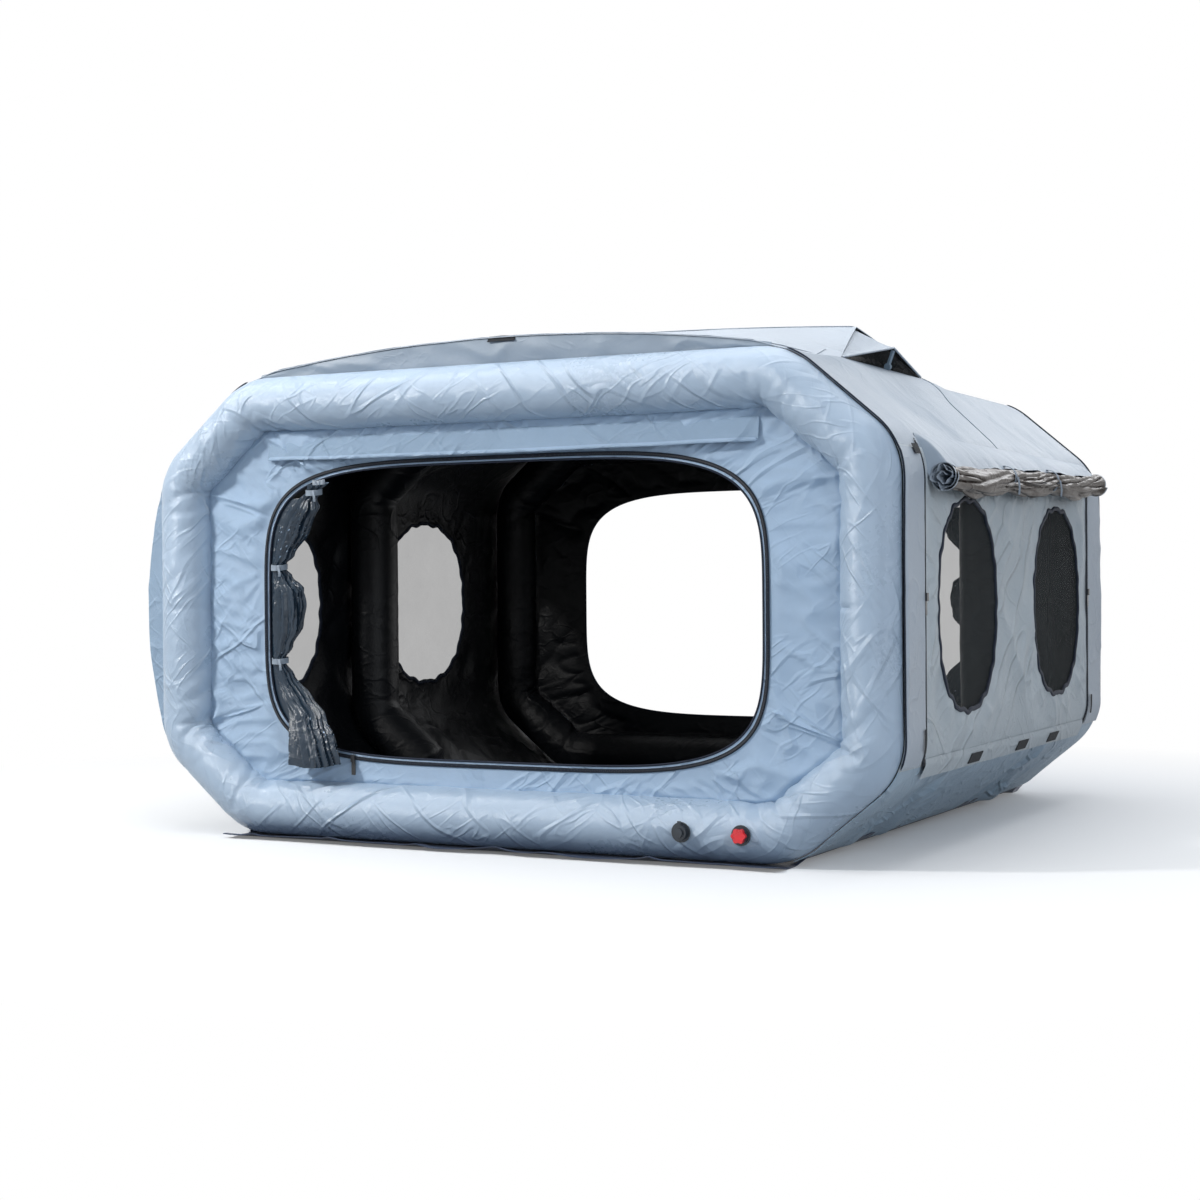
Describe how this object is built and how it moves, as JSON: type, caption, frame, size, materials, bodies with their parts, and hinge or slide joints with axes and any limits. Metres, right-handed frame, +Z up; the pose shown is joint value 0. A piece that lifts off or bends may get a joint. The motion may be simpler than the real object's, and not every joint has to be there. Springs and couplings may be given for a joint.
{
  "type": "inflatable tent",
  "caption": "Inflatable cabin tent: octagonal air rings, a fly roof with side vents, mesh windows, roll-up covers and doorways at both ends.",
  "frame": {"origin": "on the ground, under the middle of the tent", "axes": "+Z up, -Y towards the front doorway, +X to the right seen from the front"},
  "size_m": [3.0536, 2.77, 1.8288],
  "materials": {
    "ground_cloth": "matt coated groundsheet cloth",
    "sleeve_cloth": "silvery blue-grey coated oxford, slight sheen",
    "panel_cloth": "silvery blue-grey coated oxford, slight sheen",
    "cover_cloth": "pale grey-blue coated oxford",
    "base_cloth": "darker grey coated oxford",
    "lining_cloth": "black blackout lining",
    "bladder_film": "translucent TPU film",
    "window_mesh": "fine black insect mesh",
    "binding": "dark blue-black binding",
    "zip_tape": "woven zip tape with moulded teeth",
    "slider_black": "black painted die-cast",
    "webbing": "pale blue-grey webbing",
    "rolled_door": "black inner side, silver outer side",
    "rolled_cover": "glossy black-brown inner side",
    "strut_grey": "stiffened grey strap",
    "valve_black": "moulded black",
    "knob_red": "moulded red"
  },
  "bodies": {
    "root": {"ground_sheet": "ground_cloth", "front_ring_sleeve": "sleeve_cloth", "front_ring_bladder": "bladder_film", "middle_arch_sleeve": "lining_cloth", "middle_arch_bladder": "bladder_film", "rear_ring_sleeve": "sleeve_cloth", "rear_ring_bladder": "bladder_film", "front_air_hose": "valve_black", "rear_air_hose": "valve_black", "roof_cover": "cover_cloth", "front_gable": "cover_cloth", "rain_flap": "panel_cloth", "front_panel": "panel_cloth", "rear_panel": "panel_cloth", "front_door_zip": "zip_tape", "rear_door_zip": "zip_tape", "front_rolled_door": "rolled_door", "rear_rolled_door": "rolled_door", "front_door_lower_tie": "webbing", "front_door_middle_tie": "webbing", "front_door_upper_tie": "webbing", "rear_door_lower_tie": "webbing", "rear_door_upper_tie": "webbing", "inflation_valve_body": "valve_black", "deflation_valve_body": "valve_black", "left_roof_slope": "cover_cloth", "left_side_wall": "cover_cloth", "left_bottom_slope": "base_cloth", "left_cover_zip": "zip_tape", "left_rolled_cover": "rolled_cover", "left_vent_visor": "cover_cloth", "left_vent_mesh": "window_mesh", "left_front_window_mesh": "window_mesh", "left_front_window_piping": "binding", "left_cover_front_tie": "webbing", "left_rear_window_mesh": "window_mesh", "left_rear_window_piping": "binding", "left_cover_rear_tie": "webbing", "right_roof_slope": "cover_cloth", "right_side_wall": "cover_cloth", "right_bottom_slope": "base_cloth", "right_cover_zip": "zip_tape", "right_rolled_cover": "rolled_cover", "right_vent_visor": "cover_cloth", "right_vent_mesh": "window_mesh", "right_front_window_mesh": "window_mesh", "right_front_window_piping": "binding", "right_cover_front_tie": "webbing", "right_rear_window_mesh": "window_mesh", "right_rear_window_piping": "binding", "right_cover_rear_tie": "webbing"},
    "deflation_valve_knob": {"deflation_valve_knob": "knob_red"},
    "front_door_slider": {"front_door_slider": "slider_black"},
    "inflation_valve_cap": {"inflation_valve_cap": "valve_black"},
    "left_front_cover_slider": {"left_front_cover_slider": "slider_black"},
    "left_rear_cover_slider": {"left_rear_cover_slider": "slider_black"},
    "left_vent_strut": {"left_vent_strut": "strut_grey"},
    "right_front_cover_slider": {"right_front_cover_slider": "slider_black"},
    "right_rear_cover_slider": {"right_rear_cover_slider": "slider_black"},
    "right_vent_strut": {"right_vent_strut": "strut_grey"}
  },
  "joints": [
    {"name": "front_door_zip_slide", "type": "slide", "parent": "root", "child": "front_door_slider", "axis": [1, 0, 0], "range_m": [0, 1.2]},
    {"name": "right_vent_strut_fold", "type": "hinge", "parent": "root", "child": "right_vent_strut", "pos_m": [1.0638, -0.325, 1.65008], "axis": [0, 1, 0], "range_deg": [0, 105]},
    {"name": "left_vent_strut_fold", "type": "hinge", "parent": "root", "child": "left_vent_strut", "pos_m": [-1.0638, -0.325, 1.65008], "axis": [0, -1, 0], "range_deg": [0, 105]},
    {"name": "inflation_valve_cap_hinge", "type": "hinge", "parent": "root", "child": "inflation_valve_cap", "pos_m": [0.712, -1.3273, 0.0783], "axis": [1, 0, 0], "range_deg": [0, 100]},
    {"name": "deflation_knob_turn", "type": "hinge", "parent": "root", "child": "deflation_valve_knob", "pos_m": [0.919, -1.3343, 0.1033], "axis": [0, -1, 0], "range_deg": [0, 300]},
    {"name": "left_front_cover_zip_slide", "type": "slide", "parent": "root", "child": "left_front_cover_slider", "axis": [0, 0, 1], "range_m": [-0.42, 0.42]},
    {"name": "left_rear_cover_zip_slide", "type": "slide", "parent": "root", "child": "left_rear_cover_slider", "axis": [0, 0, 1], "range_m": [-0.42, 0.42]},
    {"name": "right_front_cover_zip_slide", "type": "slide", "parent": "root", "child": "right_front_cover_slider", "axis": [0, 0, 1], "range_m": [-0.42, 0.42]},
    {"name": "right_rear_cover_zip_slide", "type": "slide", "parent": "root", "child": "right_rear_cover_slider", "axis": [0, 0, 1], "range_m": [-0.42, 0.42]}
  ]
}
